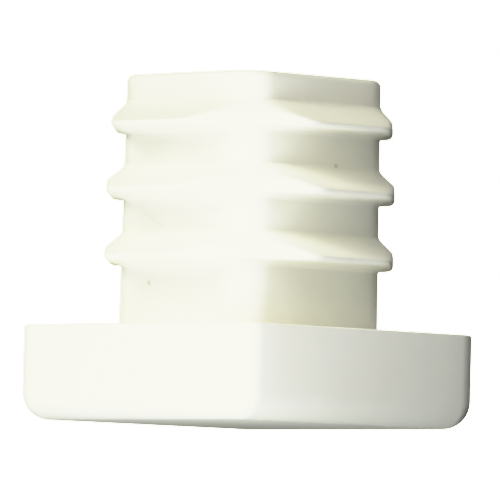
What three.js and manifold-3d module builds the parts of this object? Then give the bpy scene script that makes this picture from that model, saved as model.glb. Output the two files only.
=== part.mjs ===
// A square push-in anchor plug in white moulded plastic: a thick square head, a hollow square stem
// and three barbed collars round the stem that grip the inside of a square hole or tube.
// Millimetres, +Z up the stem, origin at the middle of the head's underside.

import * as THREE from "three";
import Module from "manifold-3d";
import { mergeVertices } from "three/addons/utils/BufferGeometryUtils.js";

const wasm = await Module();
wasm.setup();

// Head: the thick square flange that stays outside the hole.
const HEAD_SIDE = 30;
const HEAD_HEIGHT = 8.5;
const HEAD_CORNER_RADIUS = 2.6;
const HEAD_UNDER_EDGE = 2.5; // rounding of the underside's edge
const ROOT_HEIGHT = 1.5; // the stem's solid root, which belongs to the head

// Stem: the square sleeve that goes into the hole, open at its far end.
const STEM_SIDE = 18;
const STEM_HEIGHT = 22.75; // from the head's top face to the stem's rim
const STEM_CORNER_RADIUS = 2.9;
const STEM_RIM_EDGE = 0.6; // rounding of the rim, which leads the stem in
const WALL = 2.5;
const POCKET_DEPTH = 19.5;
const POCKET_CORNER_RADIUS = 1;

// Barbed collars: a ramp on every side, a short upright crest and a flat underside.
const BARB_PITCH = 5.97;
const LOWEST_BARB_ABOVE_HEAD = 5.46; // underside of the lowest collar
const RAMP_ON_FACES = 2.2; // height of the ramp on the four faces
const RAMP_ON_CORNERS = 1.5; // height of the ramp on the four cut corners
const CREST_BLUNT = 0.25; // thickness of the collar's top edge, and its lower bevel
const BARBS = [
  { name: "barb_collar_lower", height: 3.02, faceReach: 13.7, cornerReach: 12.9 },
  { name: "barb_collar_middle", height: 3.08, faceReach: 13.7, cornerReach: 12.9 },
  { name: "barb_collar_upper", height: 2.82, faceReach: 13.35, cornerReach: 12.6 },
];

const JOINT_GAP = 0.3; // clearance between neighbouring bodies
const BEYOND = 2; // how far a cutting tool passes the body it cuts
const ARC_STEPS = 5;

const STEM_HALF = STEM_SIDE / 2;
const RIM_Z = HEAD_HEIGHT + STEM_HEIGHT;
// Distance from the axis to the tip of the stem's rounded corner.
const STEM_CORNER_REACH = STEM_HALF * Math.SQRT2 - STEM_CORNER_RADIUS * (Math.SQRT2 - 1);

const whitePlastic = () =>
  new THREE.MeshStandardMaterial({ color: 0xf3f2e6, roughness: 0.5, metalness: 0 });

// A three.js geometry as a manifold solid: only positions, shared vertices merged, slivers dropped.
function toSolid(geometry) {
  const bare = geometry.clone();
  bare.deleteAttribute("normal");
  bare.deleteAttribute("uv");
  const merged = mergeVertices(bare, 1e-5);
  const corners = merged.index.array;
  const triangles = [];
  for (let i = 0; i < corners.length; i += 3) {
    const [a, b, c] = corners.slice(i, i + 3);
    if (a !== b && b !== c && c !== a) triangles.push(a, b, c);
  }
  return new wasm.Manifold(
    new wasm.Mesh({
      numProp: 3,
      vertProperties: Float32Array.from(merged.attributes.position.array),
      triVerts: Uint32Array.from(triangles),
    })
  );
}

function toMesh(name, solid) {
  const { vertProperties, triVerts } = solid.getMesh();
  const geometry = new THREE.BufferGeometry();
  geometry.setAttribute("position", new THREE.BufferAttribute(vertProperties, 3));
  geometry.setIndex(new THREE.BufferAttribute(triVerts, 1));
  geometry.computeVertexNormals();
  const mesh = new THREE.Mesh(geometry, whitePlastic());
  mesh.name = name;
  return mesh;
}

function roundedSquare(side, radius) {
  const h = side / 2;
  const c = h - radius;
  const shape = new THREE.Shape();
  shape.moveTo(c, -h);
  shape.absarc(c, -c, radius, -Math.PI / 2, 0, false);
  shape.absarc(c, c, radius, 0, Math.PI / 2, false);
  shape.absarc(-c, c, radius, Math.PI / 2, Math.PI, false);
  shape.absarc(-c, -c, radius, Math.PI, Math.PI * 1.5, false);
  return shape;
}

// An upright rounded-square bar from z = low to z = high; edge rounds the edges of both its ends.
function bar(side, radius, low, high, edge = 0) {
  const geometry = new THREE.ExtrudeGeometry(roundedSquare(side, radius), {
    depth: high - low - 2 * edge,
    curveSegments: ARC_STEPS,
    bevelEnabled: edge > 0,
    bevelThickness: edge,
    bevelSize: edge,
    bevelOffset: -edge,
    bevelSegments: ARC_STEPS,
  });
  return toSolid(geometry.translate(0, 0, low + edge));
}

// A box as wide as the head and more, from z = low to z = high.
function slab(low, high) {
  const wide = HEAD_SIDE + 2 * BEYOND;
  return toSolid(new THREE.BoxGeometry(wide, wide, high - low).translate(0, 0, (low + high) / 2));
}

// A four-sided spindle. profile lists [distance from the axis to a side, z] from the bottom up;
// turn is the angle about Z from the X axis to the middle of one side.
function spindle(profile, turn) {
  const points = profile.map(([reach, z]) => new THREE.Vector2(reach * Math.SQRT2, z));
  const geometry = new THREE.LatheGeometry(points, 4);
  return toSolid(geometry.rotateX(Math.PI / 2).rotateZ(turn + Math.PI / 4));
}

// The flange, with the solid root of the stem standing on it.
function makeHead() {
  const block = bar(HEAD_SIDE, HEAD_CORNER_RADIUS, 0, HEAD_HEIGHT + 2 * HEAD_UNDER_EDGE, HEAD_UNDER_EDGE);
  const root = bar(STEM_SIDE, STEM_CORNER_RADIUS, HEAD_UNDER_EDGE, HEAD_HEIGHT + ROOT_HEIGHT);
  return toMesh("head", block.intersect(slab(-BEYOND, HEAD_HEIGHT)).add(root));
}

function makeStem() {
  const foot = HEAD_HEIGHT + ROOT_HEIGHT + JOINT_GAP;
  const outside = bar(STEM_SIDE, STEM_CORNER_RADIUS, foot - BEYOND, RIM_Z, STEM_RIM_EDGE);
  const pocket = bar(STEM_SIDE - 2 * WALL, POCKET_CORNER_RADIUS, RIM_Z - POCKET_DEPTH, RIM_Z + BEYOND);
  return toMesh("stem_sleeve", outside.intersect(slab(foot, RIM_Z + BEYOND)).subtract(pocket));
}

// One collar: the ramps of the four faces, cut off at the corners by four steeper ramps.
function makeBarb({ name, height, faceReach, cornerReach }, level) {
  const under = HEAD_HEIGHT + LOWEST_BARB_ABOVE_HEAD + level * BARB_PITCH;
  const top = under + height;
  const faceFoot = STEM_HALF + JOINT_GAP + CREST_BLUNT;
  const cornerFoot = STEM_CORNER_REACH + JOINT_GAP + CREST_BLUNT;
  const faces = spindle(
    [
      [0, under],
      [faceReach - CREST_BLUNT, under],
      [faceReach, under + CREST_BLUNT],
      [faceReach, top - RAMP_ON_FACES],
      [faceFoot, top],
      [0, top],
    ],
    0
  );
  const corners = spindle(
    [
      [0, under - BEYOND],
      [cornerReach, under - BEYOND],
      [cornerReach, top - RAMP_ON_CORNERS],
      [cornerFoot, top],
      [cornerFoot, top + BEYOND],
      [0, top + BEYOND],
    ],
    Math.PI / 4
  );
  const hole = bar(
    STEM_SIDE + 2 * JOINT_GAP,
    STEM_CORNER_RADIUS + JOINT_GAP,
    under - BEYOND,
    top + BEYOND
  );
  return toMesh(name, faces.intersect(corners).subtract(hole));
}

const plug = new THREE.Group();
plug.add(makeHead(), makeStem(), ...BARBS.map(makeBarb));

export default plug;
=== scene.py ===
"""A square push-in anchor plug in cream-white moulded plastic, on a pale floor in soft studio light.

The head and the stem are lofted from rounded squares. The three barbed collars grow from one
Geometry Nodes rule, given each collar's own sizes. Everything is in metres, +Z up the stem.
"""

import math

import bpy
from mathutils import Euler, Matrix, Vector


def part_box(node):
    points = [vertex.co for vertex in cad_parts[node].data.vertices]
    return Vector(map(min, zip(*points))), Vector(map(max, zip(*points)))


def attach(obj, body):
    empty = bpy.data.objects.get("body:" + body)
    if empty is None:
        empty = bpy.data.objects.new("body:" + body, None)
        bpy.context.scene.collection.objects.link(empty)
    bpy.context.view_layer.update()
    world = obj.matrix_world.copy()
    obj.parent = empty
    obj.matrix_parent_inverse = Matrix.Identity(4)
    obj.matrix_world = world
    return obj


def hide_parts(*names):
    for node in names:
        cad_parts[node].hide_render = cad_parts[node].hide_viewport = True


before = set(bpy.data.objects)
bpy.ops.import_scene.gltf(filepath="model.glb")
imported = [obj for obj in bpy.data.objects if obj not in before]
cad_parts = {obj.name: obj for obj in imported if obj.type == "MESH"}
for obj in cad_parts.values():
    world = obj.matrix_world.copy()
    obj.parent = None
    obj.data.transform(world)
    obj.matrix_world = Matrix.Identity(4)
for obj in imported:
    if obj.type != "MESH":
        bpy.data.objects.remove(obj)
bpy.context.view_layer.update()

MM = 0.001
BODY = "root"

# Head
HEAD_TOP = 8.5 * MM
HEAD_CORNER = 2.6 * MM
HEAD_UNDER_EDGE = 2.5 * MM
HEAD_TOP_EDGE = 0.22 * MM

# Stem: slightly smaller at its rim than at the head, so that it leaves the mould
STEM_HALF_AT_HEAD = 9.06 * MM
STEM_HALF_AT_RIM = 8.92 * MM
STEM_CORNER = 2.9 * MM
STEM_RIM_EDGE = 0.6 * MM
STEM_ROOT_FILLET = 0.35 * MM
POCKET_HALF = 6.5 * MM
POCKET_CORNER = 1.0 * MM
POCKET_DEPTH = 19.5 * MM
POCKET_MOUTH_EDGE = 0.25 * MM
POCKET_FLOOR_EDGE = 0.8 * MM
SUNK = 0.3 * MM  # how far the stem reaches into the head it is moulded to
SUPPORT = 0.05 * MM  # a ring this close to a rounding keeps the flat beside it flat

# Collars, and how far each one's cut corners reach
COLLARS = {
    "barb_collar_lower": 12.9 * MM,
    "barb_collar_middle": 12.9 * MM,
    "barb_collar_upper": 12.6 * MM,
}
COLLAR_INSET = 0.02 * MM  # how far the collar's foot lies inside the stem's face
COLLAR_SUNK = 0.5 * MM  # how far the collar reaches into the stem's wall
FACE_RAMP = 2.2 * MM
CORNER_RAMP = 1.4 * MM
UNDERSIDE_RAISED = 0.2 * MM  # above the plain collar's underside, which leaves room for the root fillet
UNDERSIDE_LEAN = 0.15 * MM  # how much higher the underside is at the crest than at the stem
FACET_EDGE = 1.3 * MM
CREST_EDGE = 1.3 * MM
CORNER_CREST_EDGE = 0.3 * MM
TOP_FILLET = 0.6 * MM
LOWER_EDGE = 0.45 * MM
ROOT_FILLET = 0.5 * MM

# Plastic: its colours, and how many millimetres its variations are across and deep
CREAM = (0.865, 0.860, 0.735)
WARM_CREAM = (0.850, 0.840, 0.695)
DULL_CREAM = (0.805, 0.800, 0.690)
SPECK_BROWN = (0.26, 0.24, 0.16)
FLOW_CLOUD = 9 * MM
MOTTLE = 1.6 * MM
SINK_WAVE = 6 * MM
SINK_WAVE_DEPTH = 0.03 * MM
MOULD_GRAIN = 0.22 * MM
MOULD_GRAIN_DEPTH = 0.012 * MM
SPECKS = [  # place, radius, strength
    ((-3.5 * MM, -9.0 * MM, 12.4 * MM), 0.32 * MM, 0.45),
    ((9.0 * MM, 1.8 * MM, 23.2 * MM), 0.26 * MM, 0.40),
]
SCRATCH = (
    (-4.6 * MM, -9.0 * MM, 18.8 * MM),
    (-1.7 * MM, -9.0 * MM, 17.3 * MM),
)
SCRATCH_WIDTH = 0.12 * MM
SCRATCH_DEPTH = 0.01 * MM
SCRATCH_STRENGTH = 0.12
MOTTLE_STRENGTH = 0.35
SMOOTHEST = 0.42  # roughness where the mottle is weakest
ROUGHNESS_SPREAD = 0.16

# Studio
FLOOR_HALF_SIDE = 1.0
FLOOR_DROP = 0.02 * MM

# Surroundings as they are seen and as they light, and the tone that light is shown as
SURROUNDINGS_WHITE = 4.0
SURROUNDINGS_LIGHT = 0.02
ROLL_OFF_START = 0.68
ROLL_OFF_PLATEAUS = (0.946, 0.946, 0.885)  # red, green, blue
ROLL_OFF_STEPS = (0.35, 0.68, 0.8, 0.95, 1.15, 1.5, 2.2, 3.2)

# Softboxes: name, turn from the camera, elevation, distance, side, brightness, tint
SOFTBOXES = [
    ("key softbox", -50, 35, 0.40, 0.20, 0.88, (1.0, 1.0, 0.85)),
    ("low front softbox", -10, -20, 0.08, 0.04, 0.62, (0.86, 0.88, 1.0)),
    ("low left softbox", -30, -40, 0.08, 0.04, 0.60, (0.95, 1.0, 1.0)),
    ("near right softbox", 10, 20, 0.08, 0.04, 0.24, (1.0, 1.0, 1.0)),
    ("high right softbox", 20, 45, 0.16, 0.08, 0.12, (0.95, 0.95, 1.0)),
    ("back left softbox", -155, 15, 0.50, 0.30, 0.50, (1.0, 1.0, 1.0)),
    ("back right softbox", 145, 15, 0.50, 0.30, 0.25, (1.0, 1.0, 1.0)),
]

# Camera
CAMERA_AZIMUTH = 46.3
CAMERA_ELEVATION = -2.65
CAMERA_ROLL = 1.42
CAMERA_DISTANCE = 0.7713
CAMERA_TARGET = Vector((0, 0, 15.74 * MM))
CAMERA_LENS = 616.4


# ---------------------------------------------------------------- node arithmetic

class Field:
    """A number inside a node tree, so that a rule can be written as plain arithmetic."""

    def __init__(self, tree, socket):
        self.tree = tree
        self.socket = socket

    def apply(self, operation, *others):
        node = self.tree.nodes.new("ShaderNodeMath")
        node.operation = operation
        for port, value in zip(node.inputs, (self, *others)):
            if isinstance(value, Field):
                self.tree.links.new(value.socket, port)
            else:
                port.default_value = value
        return Field(self.tree, node.outputs[0])

    def __add__(self, other):
        return self.apply("ADD", other)

    def __sub__(self, other):
        return self.apply("SUBTRACT", other)

    def __mul__(self, other):
        return self.apply("MULTIPLY", other)

    def __truediv__(self, other):
        return self.apply("DIVIDE", other)

    def largest(self, other):
        return self.apply("MAXIMUM", other)

    def smallest(self, other):
        return self.apply("MINIMUM", other)

    def soft_largest(self, other, blend):
        return self.apply("SMOOTH_MAX", other, blend)

    def soft_smallest(self, other, blend):
        return self.apply("SMOOTH_MIN", other, blend)

    def sine(self):
        return self.apply("SINE")

    def cosine(self):
        return self.apply("COSINE")

    def size(self):
        return self.apply("ABSOLUTE")

    def root(self):
        return self.apply("SQRT")

    def share(self, start, end):
        """How far this number has gone from start to end, from 0 to 1."""
        return ((self - start) / (end - start)).largest(0.0).smallest(1.0)


# ---------------------------------------------------------------- collar rule

# Rows of faces round the collar's section, in the order in which the section runs
RAMP_ROWS = 30
EDGE_ROWS = 6
UNDERSIDE_ROWS = 6
FILLET_ROWS = 6
HIDDEN_ROWS = 3
SECTION_ROWS = RAMP_ROWS + EDGE_ROWS + UNDERSIDE_ROWS + FILLET_ROWS + HIDDEN_ROWS
COLLAR_COLUMNS = 512

COLLAR_SIZES = [
    "Stem Half Side",
    "Stem Corner Radius",
    "Face Reach",
    "Corner Reach",
    "Underside Height",
    "Underside Lean",
    "Top Height",
    "Face Ramp",
    "Corner Ramp",
    "Facet Edge",
    "Crest Edge",
    "Corner Crest Edge",
    "Top Fillet",
    "Lower Edge",
    "Root Fillet",
    "Sunk",
]


def square_reach(half, c, s):
    """Distance from the axis to a square, along the direction whose cosine and sine sizes are c and s."""
    return half / c.largest(s)


def diamond_reach(half, c, s):
    """Distance from the axis to a square turned by 45 degrees."""
    return half * math.sqrt(2) / (c + s)


def rounded_square_reach(half, radius, c, s):
    """Distance from the axis to a square with rounded corners."""
    inner = half - radius
    along = inner * (c + s)
    across = inner * (c - s)
    on_corner = along + (radius * radius - across * across).largest(0.0).root()
    flat = square_reach(half, c, s)
    corner_share = c.smallest(s) / c.largest(s) - inner / half
    is_corner = corner_share.apply("GREATER_THAN", 0.0)
    return flat + (on_corner - flat) * is_corner


def collar_tree(material):
    """The rule for one collar: a section swept round the stem whose reach follows four face ramps
    cut off by four corner ramps. The section closes on itself inside the stem's wall."""
    tree = bpy.data.node_groups.new("Barbed Collar", "GeometryNodeTree")
    for name in COLLAR_SIZES:
        tree.interface.new_socket(name, in_out="INPUT", socket_type="NodeSocketFloat")
    tree.interface.new_socket("Collar", in_out="OUTPUT", socket_type="NodeSocketGeometry")
    given = tree.nodes.new("NodeGroupInput")
    size = {name: Field(tree, given.outputs[name]) for name in COLLAR_SIZES}

    grid = tree.nodes.new("GeometryNodeMeshGrid")
    grid.inputs["Size X"].default_value = 1
    grid.inputs["Size Y"].default_value = 1
    grid.inputs["Vertices X"].default_value = COLLAR_COLUMNS + 1
    grid.inputs["Vertices Y"].default_value = SECTION_ROWS + 1
    place = tree.nodes.new("GeometryNodeInputPosition")
    split = tree.nodes.new("ShaderNodeSeparateXYZ")
    tree.links.new(place.outputs[0], split.inputs[0])
    angle = (Field(tree, split.outputs["X"]) + 0.5) * (2 * math.pi)
    row = (Field(tree, split.outputs["Y"]) + 0.5) * SECTION_ROWS

    reach, height = collar_section(size, angle, row)
    join = tree.nodes.new("ShaderNodeCombineXYZ")
    tree.links.new((reach * angle.cosine()).socket, join.inputs["X"])
    tree.links.new((reach * angle.sine()).socket, join.inputs["Y"])
    tree.links.new(height.socket, join.inputs["Z"])
    move = tree.nodes.new("GeometryNodeSetPosition")
    tree.links.new(grid.outputs["Mesh"], move.inputs["Geometry"])
    tree.links.new(join.outputs[0], move.inputs["Position"])
    finish_tree(tree, move.outputs[0], material)
    return tree


def collar_section(size, angle, row):
    """Reach and height of the point that lies this many rows along the section, at this angle."""
    c = angle.cosine().size()
    s = angle.sine().size()
    half = size["Stem Half Side"]
    stem = rounded_square_reach(half, size["Stem Corner Radius"], c, s)
    tip = half * math.sqrt(2) - size["Stem Corner Radius"] * (math.sqrt(2) - 1)
    edge = size["Lower Edge"]
    fillet = size["Root Fillet"]
    under = size["Underside Height"]
    top = size["Top Height"]
    start = top + size["Face Ramp"] * 0.25
    crest_end = under + size["Underside Lean"] + edge

    ends = [RAMP_ROWS, EDGE_ROWS, UNDERSIDE_ROWS, FILLET_ROWS, 1, 1, 1]
    shares = []
    first = 0
    for rows in ends:
        shares.append(row.share(first, first + rows))
        first += rows
    down, round_edge, inwards, round_root, sink, rise, close = shares

    ramp_z = start - (start - crest_end) * down

    def outside(z):
        faces = half + (size["Face Reach"] - half) * (top - z) / size["Face Ramp"]
        corners = tip + (size["Corner Reach"] - tip) * (top - z) / size["Corner Ramp"]
        faces = faces.soft_smallest(size["Face Reach"], size["Crest Edge"])
        corners = corners.soft_smallest(size["Corner Reach"], size["Corner Crest Edge"])
        barb = square_reach(faces, c, s).soft_smallest(
            diamond_reach(corners, c, s), size["Facet Edge"]
        )
        return barb.soft_largest(stem, size["Top Fillet"])

    rim = outside(crest_end)
    quarter = math.pi / 2
    reach = (
        outside(ramp_z)
        - edge * (Field.cosine(round_edge * quarter) * -1.0 + 1.0)
        - (rim - edge - stem - fillet) * inwards
        - fillet * Field.sine(round_root * quarter)
        - size["Sunk"] * sink
        + (outside(start) - stem + size["Sunk"]) * close
    )
    height = (
        ramp_z
        - edge * Field.sine(round_edge * quarter)
        - size["Underside Lean"] * inwards
        - fillet * (Field.cosine(round_root * quarter) * -1.0 + 1.0)
        + (start - under + fillet) * rise
    )
    return reach, height


def finish_tree(tree, geometry, material):
    """Closes the seams, shades smooth, realizes and sets the material."""
    merge = tree.nodes.new("GeometryNodeMergeByDistance")
    merge.inputs["Distance"].default_value = 1e-6
    smooth = tree.nodes.new("GeometryNodeSetShadeSmooth")
    realize = tree.nodes.new("GeometryNodeRealizeInstances")
    paint = tree.nodes.new("GeometryNodeSetMaterial")
    paint.inputs["Material"].default_value = material
    result = tree.nodes.new("NodeGroupOutput")
    tree.links.new(geometry, merge.inputs[0])
    tree.links.new(merge.outputs[0], smooth.inputs["Geometry"])
    tree.links.new(smooth.outputs[0], realize.inputs[0])
    tree.links.new(realize.outputs[0], paint.inputs["Geometry"])
    tree.links.new(paint.outputs[0], result.inputs[0])


def grow(name, tree, sizes):
    """A plain mesh object made by the tree with these sizes."""
    piece = bpy.data.objects.new(name, bpy.data.meshes.new(name))
    bpy.context.collection.objects.link(piece)
    modifier = piece.modifiers.new("Rule", "NODES")
    modifier.node_group = tree
    for item in tree.interface.items_tree:
        if item.in_out == "INPUT":
            modifier[item.identifier] = sizes[item.name]
    evaluated = piece.evaluated_get(bpy.context.evaluated_depsgraph_get())
    mesh = bpy.data.meshes.new_from_object(evaluated)
    piece.modifiers.remove(modifier)
    piece.data = mesh
    mesh.name = name
    return piece


# ---------------------------------------------------------------- lofted pieces

CORNER_STEPS = 12
SIDE_STEPS = 6


def rounded_square(half, radius):
    """Points of a rounded square, anticlockwise from the middle of the +X side."""
    inner = half - radius
    points = []
    for quarter in range(4):
        turn = quarter * math.pi / 2
        side = [(half, inner * step / SIDE_STEPS) for step in range(-SIDE_STEPS, SIDE_STEPS)]
        corner = [
            (
                inner + radius * math.cos(step / CORNER_STEPS * math.pi / 2),
                inner + radius * math.sin(step / CORNER_STEPS * math.pi / 2),
            )
            for step in range(CORNER_STEPS)
        ]
        for x, y in side + corner:
            across = x * math.cos(turn) - y * math.sin(turn)
            along = x * math.sin(turn) + y * math.cos(turn)
            points.append((across, along))
    return points


def arc(centre, radius, start, end, steps):
    """Points of an arc in the section plane, from one angle in degrees to another."""
    points = []
    for step in range(steps + 1):
        angle = math.radians(start + (end - start) * step / steps)
        points.append((centre[0] + radius * math.cos(angle), centre[1] + radius * math.sin(angle)))
    return points


def loft(name, rings, material):
    """A closed body through rounded squares. Each ring is (half side, corner radius, height);
    the first and the last ring are closed by flat faces."""
    count = len(rounded_square(rings[0][0], rings[0][1]))
    vertices = []
    for half, radius, z in rings:
        vertices += [(x, y, z) for x, y in rounded_square(half, radius)]
    faces = [tuple(reversed(range(count)))]
    for level in range(len(rings) - 1):
        low, high = level * count, (level + 1) * count
        for i in range(count):
            j = (i + 1) % count
            faces.append((low + i, low + j, high + j, high + i))
    last = (len(rings) - 1) * count
    faces.append(tuple(range(last, last + count)))
    mesh = bpy.data.meshes.new(name)
    mesh.from_pydata(vertices, [], faces)
    mesh.materials.append(material)
    mesh.shade_smooth()
    piece = bpy.data.objects.new(name, mesh)
    bpy.context.collection.objects.link(piece)
    return piece


def offset_rings(section, half, corner, least=SUPPORT):
    """Rings for section points (distance out from the side, height) of a body with this corner radius."""
    return [(half + out, max(corner + out, least), z) for out, z in section]


def make_head(material):
    low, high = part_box("head")
    half = high.x
    edge = HEAD_UNDER_EDGE
    top_edge = HEAD_TOP_EDGE
    under = arc((-edge, low.z + edge), edge, -90, 0, 14)
    upper = arc((-top_edge, HEAD_TOP - top_edge), top_edge, 0, 90, 6)
    section = [(-edge - 0.3 * MM, low.z), (-edge - SUPPORT, low.z)]
    section += under + [(0, low.z + edge + SUPPORT), (0, HEAD_TOP - top_edge - SUPPORT)]
    section += upper + [(-top_edge - SUPPORT, HEAD_TOP), (-top_edge - 0.5 * MM, HEAD_TOP)]
    rings = offset_rings(section, half, HEAD_CORNER)
    inner = 4 * MM
    rings = [(inner, 1 * MM, low.z)] + rings + [(inner, 1 * MM, HEAD_TOP)]
    return loft("plug_head", rings, material)


def stem_half(z):
    """Half side of the stem at a height."""
    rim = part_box("stem_sleeve")[1].z
    share = (z - HEAD_TOP) / (rim - HEAD_TOP)
    return STEM_HALF_AT_HEAD + (STEM_HALF_AT_RIM - STEM_HALF_AT_HEAD) * share


def make_stem(material):
    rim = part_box("stem_sleeve")[1].z
    root = STEM_ROOT_FILLET
    foot_half = stem_half(HEAD_TOP)
    rim_half = stem_half(rim)
    section = [(foot_half + root, HEAD_TOP - SUNK)]
    section += [
        (foot_half + root + x, z)
        for x, z in arc((0, HEAD_TOP + root), root, 270, 180, 6)
    ]
    straight = HEAD_TOP + root + SUPPORT
    steps = 12
    for step in range(steps + 1):
        z = straight + (rim - STEM_RIM_EDGE - SUPPORT - straight) * step / steps
        section.append((stem_half(z), z))
    section += [
        (rim_half - STEM_RIM_EDGE + x, z)
        for x, z in arc((0, rim - STEM_RIM_EDGE), STEM_RIM_EDGE, 0, 90, 10)
    ]
    section.append((rim_half - STEM_RIM_EDGE - SUPPORT, rim))
    rings = [(half, STEM_CORNER + half - stem_half(z), z) for half, z in section]

    mouth = POCKET_MOUTH_EDGE
    floor = rim - POCKET_DEPTH
    pocket = [(mouth + SUPPORT, rim)]
    pocket += [(mouth + x, z) for x, z in arc((0, rim - mouth), mouth, 90, 180, 5)]
    pocket += [(0, rim - mouth - SUPPORT), (0, floor + POCKET_FLOOR_EDGE + SUPPORT)]
    pocket += [
        (-POCKET_FLOOR_EDGE + x, z)
        for x, z in arc((0, floor + POCKET_FLOOR_EDGE), POCKET_FLOOR_EDGE, 0, -90, 6)
    ]
    pocket.append((-POCKET_FLOOR_EDGE - SUPPORT, floor))
    rings += offset_rings(pocket, POCKET_HALF, POCKET_CORNER)
    rings.append((2 * MM, 0.5 * MM, floor))
    return loft("plug_stem", rings, material)


def make_collars(material):
    tree = collar_tree(material)
    collars = []
    for node, corner_reach in COLLARS.items():
        low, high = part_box(node)
        collars.append(
            grow(
                "plug_" + node,
                tree,
                {
                    "Stem Half Side": stem_half((low.z + high.z) / 2) - COLLAR_INSET,
                    "Stem Corner Radius": STEM_CORNER,
                    "Face Reach": high.x,
                    "Corner Reach": corner_reach,
                    "Underside Height": low.z + UNDERSIDE_RAISED,
                    "Underside Lean": UNDERSIDE_LEAN,
                    "Top Height": high.z,
                    "Face Ramp": FACE_RAMP,
                    "Corner Ramp": CORNER_RAMP,
                    "Facet Edge": FACET_EDGE,
                    "Crest Edge": CREST_EDGE,
                    "Corner Crest Edge": CORNER_CREST_EDGE,
                    "Top Fillet": TOP_FILLET,
                    "Lower Edge": LOWER_EDGE,
                    "Root Fillet": ROOT_FILLET,
                    "Sunk": COLLAR_SUNK,
                },
            )
        )
    return collars


# ---------------------------------------------------------------- materials

def noise(tree, place, feature, detail):
    """Noise from 0 to 1 whose features are about this many metres across."""
    node = tree.nodes.new("ShaderNodeTexNoise")
    node.inputs["Scale"].default_value = 1 / feature
    node.inputs["Detail"].default_value = detail
    tree.links.new(place, node.inputs["Vector"])
    return Field(tree, node.outputs["Fac"])


def distance_to(tree, place, spot):
    node = tree.nodes.new("ShaderNodeVectorMath")
    node.operation = "DISTANCE"
    node.inputs[1].default_value = spot
    tree.links.new(place, node.inputs[0])
    return Field(tree, node.outputs["Value"])


def speck(tree, place, spot, radius):
    """1 inside a ragged little inclusion, fading to 0 at its rim."""
    ragged = (noise(tree, place, 0.3 * MM, 1) - 0.5) * radius
    return (distance_to(tree, place, spot) + ragged).share(radius, radius * 0.4)


def scratch(tree, place, start, end, width):
    """1 on the line from start to end, fading to 0 over this width."""
    longer = distance_to(tree, place, start) + distance_to(tree, place, end)
    length = (Vector(end) - Vector(start)).length
    detour = width * width / length * 2
    return longer.share(length + detour, length)


def shade(tree, amount, plain, changed):
    """A colour that goes from plain to changed as amount goes from 0 to 1."""
    mix = tree.nodes.new("ShaderNodeMix")
    mix.data_type = "RGBA"
    tree.links.new(amount.socket, mix.inputs["Factor"])
    for port, colour in ((mix.inputs[6], plain), (mix.inputs[7], changed)):
        if isinstance(colour, tuple):
            port.default_value = (*colour, 1)
        else:
            tree.links.new(colour, port)
    return mix.outputs[2]


def moulded_plastic():
    """Cream-white plastic: faint flow clouds, a few inclusions, a fine satin mould texture."""
    material = bpy.data.materials.new("Cream White Moulded Plastic")
    material.use_nodes = True
    tree = material.node_tree
    place = tree.nodes.new("ShaderNodeTexCoord").outputs["Object"]

    clouds = noise(tree, place, FLOW_CLOUD, 2)
    mottle = noise(tree, place, MOTTLE, 3)
    colour = shade(tree, clouds.share(0.3, 0.7), CREAM, WARM_CREAM)
    colour = shade(tree, mottle.share(0.35, 0.75) * MOTTLE_STRENGTH, colour, DULL_CREAM)
    for spot, radius, strength in SPECKS:
        colour = shade(tree, speck(tree, place, spot, radius) * strength, colour, SPECK_BROWN)
    scuff = scratch(tree, place, *SCRATCH, SCRATCH_WIDTH)
    colour = shade(tree, scuff * SCRATCH_STRENGTH, colour, SPECK_BROWN)

    wave = noise(tree, place, SINK_WAVE, 1) * SINK_WAVE_DEPTH
    grain = noise(tree, place, MOULD_GRAIN, 3) * MOULD_GRAIN_DEPTH
    bump = tree.nodes.new("ShaderNodeBump")
    bump.inputs["Distance"].default_value = 1.0
    tree.links.new((wave + grain - scuff * SCRATCH_DEPTH).socket, bump.inputs["Height"])

    shader = tree.nodes["Principled BSDF"]
    tree.links.new(colour, shader.inputs["Base Color"])
    tree.links.new((mottle * ROUGHNESS_SPREAD + SMOOTHEST).socket, shader.inputs["Roughness"])
    tree.links.new(bump.outputs[0], shader.inputs["Normal"])
    return material


def pale_floor():
    """Pale matt card, which can't be seen from underneath."""
    material = bpy.data.materials.new("Pale Card")
    material.use_nodes = True
    tree = material.node_tree
    card = tree.nodes["Principled BSDF"]
    card.inputs["Base Color"].default_value = (0.86, 0.86, 0.86, 1)
    card.inputs["Roughness"].default_value = 0.9
    clear = tree.nodes.new("ShaderNodeBsdfTransparent")
    mix = tree.nodes.new("ShaderNodeMixShader")
    side = tree.nodes.new("ShaderNodeNewGeometry")
    tree.links.new(side.outputs["Backfacing"], mix.inputs[0])
    tree.links.new(card.outputs[0], mix.inputs[1])
    tree.links.new(clear.outputs[0], mix.inputs[2])
    tree.links.new(mix.outputs[0], tree.nodes["Material Output"].inputs["Surface"])
    return material


# ---------------------------------------------------------------- studio

def make_floor():
    """A floor that takes the plug's shadow but sends no light back, so the underside isn't sealed off."""
    side = FLOOR_HALF_SIDE
    z = -FLOOR_DROP
    mesh = bpy.data.meshes.new("studio_floor")
    mesh.from_pydata(
        [(-side, -side, z), (side, -side, z), (side, side, z), (-side, side, z)], [], [(0, 1, 2, 3)]
    )
    mesh.materials.append(pale_floor())
    floor = bpy.data.objects.new("studio_floor", mesh)
    bpy.context.collection.objects.link(floor)
    floor.visible_diffuse = False
    floor.visible_glossy = False
    floor.visible_transmission = False
    floor.visible_shadow = False


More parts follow.
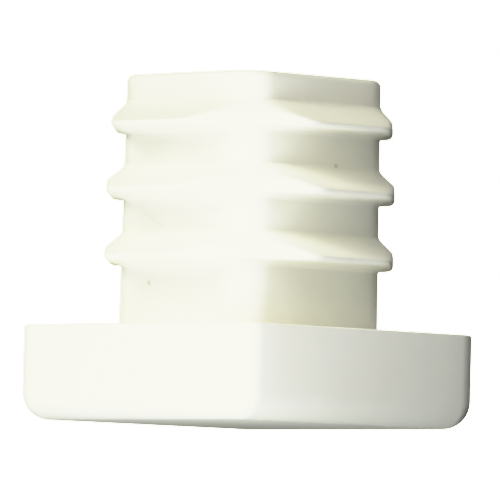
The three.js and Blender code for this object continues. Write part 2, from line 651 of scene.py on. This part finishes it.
def make_surroundings(brightness):
    """White to the eye, and dimmer as a light."""
    world = bpy.data.worlds.new("Studio")
    bpy.context.scene.world = world
    world.use_nodes = True
    tree = world.node_tree
    seen = tree.nodes["Background"]
    seen.inputs["Color"].default_value = (1, 1, 1, 1)
    seen.inputs["Strength"].default_value = SURROUNDINGS_WHITE
    lit = tree.nodes.new("ShaderNodeBackground")
    lit.inputs["Color"].default_value = (1, 1, 1, 1)
    lit.inputs["Strength"].default_value = brightness
    path = tree.nodes.new("ShaderNodeLightPath")
    mix = tree.nodes.new("ShaderNodeMixShader")
    tree.links.new(path.outputs["Is Camera Ray"], mix.inputs[0])
    tree.links.new(lit.outputs[0], mix.inputs[1])
    tree.links.new(seen.outputs[0], mix.inputs[2])
    tree.links.new(mix.outputs[0], tree.nodes["World Output"].inputs["Surface"])


def direction(azimuth, elevation):
    """Unit vector from the plug towards an azimuth and elevation in degrees."""
    a, e = math.radians(azimuth), math.radians(elevation)
    return Vector((math.sin(a) * math.cos(e), -math.cos(a) * math.cos(e), math.sin(e)))


def add_softbox(name, turn, elevation, distance, side, brightness, tint):
    """A square softbox that looks at the plug. turn is its angle round the plug from the camera, and
    brightness is what falls on a sheet facing it at the plug, whatever its distance. A softbox behind
    the plug leaves no glare on its rims."""
    data = bpy.data.lights.new(name, "AREA")
    data.shape = "SQUARE"
    data.size = side
    data.energy = brightness * 4 * math.pi * distance * distance
    data.color = tint
    lamp = bpy.data.objects.new(name, data)
    away = direction(CAMERA_AZIMUTH + turn, elevation)
    lamp.location = CAMERA_TARGET + away * distance
    lamp.rotation_euler = away.to_track_quat("Z", "Y").to_euler()
    lamp.visible_camera = False
    lamp.visible_glossy = abs(turn) < 90
    bpy.context.collection.objects.link(lamp)


def rolled_off(light, plateau):
    """The tone a brightness is shown as: itself at first, then levelling out towards the plateau."""
    if light <= ROLL_OFF_START:
        return light
    room = plateau - ROLL_OFF_START
    return ROLL_OFF_START + room * (1 - math.exp((ROLL_OFF_START - light) / room))


def set_highlight_roll_off():
    """Bright tones flatten out just below white, and only the surroundings reach pure white."""
    view = bpy.context.scene.view_settings
    view.view_transform = "Standard"
    view.use_curve_mapping = True
    mapping = view.curve_mapping
    mapping.white_level = (SURROUNDINGS_WHITE,) * 3
    for curve, plateau in zip(mapping.curves, ROLL_OFF_PLATEAUS):
        for light in ROLL_OFF_STEPS:
            curve.points.new(light / SURROUNDINGS_WHITE, rolled_off(light, plateau))
        for point in curve.points:
            point.handle_type = "AUTO_CLAMPED"
    mapping.update()


def make_camera():
    data = bpy.data.cameras.new("camera")
    data.sensor_width = 36
    data.lens = CAMERA_LENS
    data.clip_start = 0.01
    data.clip_end = 10
    camera = bpy.data.objects.new("camera", data)
    away = direction(CAMERA_AZIMUTH, CAMERA_ELEVATION)
    camera.location = CAMERA_TARGET + away * CAMERA_DISTANCE
    turn = away.to_track_quat("Z", "Y") @ Euler((0, 0, math.radians(CAMERA_ROLL))).to_quaternion()
    camera.rotation_euler = turn.to_euler()
    bpy.context.collection.objects.link(camera)
    bpy.context.scene.camera = camera


# ---------------------------------------------------------------- putting it together

plastic = moulded_plastic()
head = make_head(plastic)
stem = make_stem(plastic)
collars = make_collars(plastic)

pieces = {
    "head": head,
    "stem_sleeve": stem,
    "barb_collar_lower": collars[0],
    "barb_collar_middle": collars[1],
    "barb_collar_upper": collars[2],
}
for node, piece in pieces.items():
    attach(piece, BODY)
    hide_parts(node)

make_floor()
make_surroundings(SURROUNDINGS_LIGHT)
for softbox in SOFTBOXES:
    add_softbox(*softbox)
set_highlight_roll_off()
make_camera()
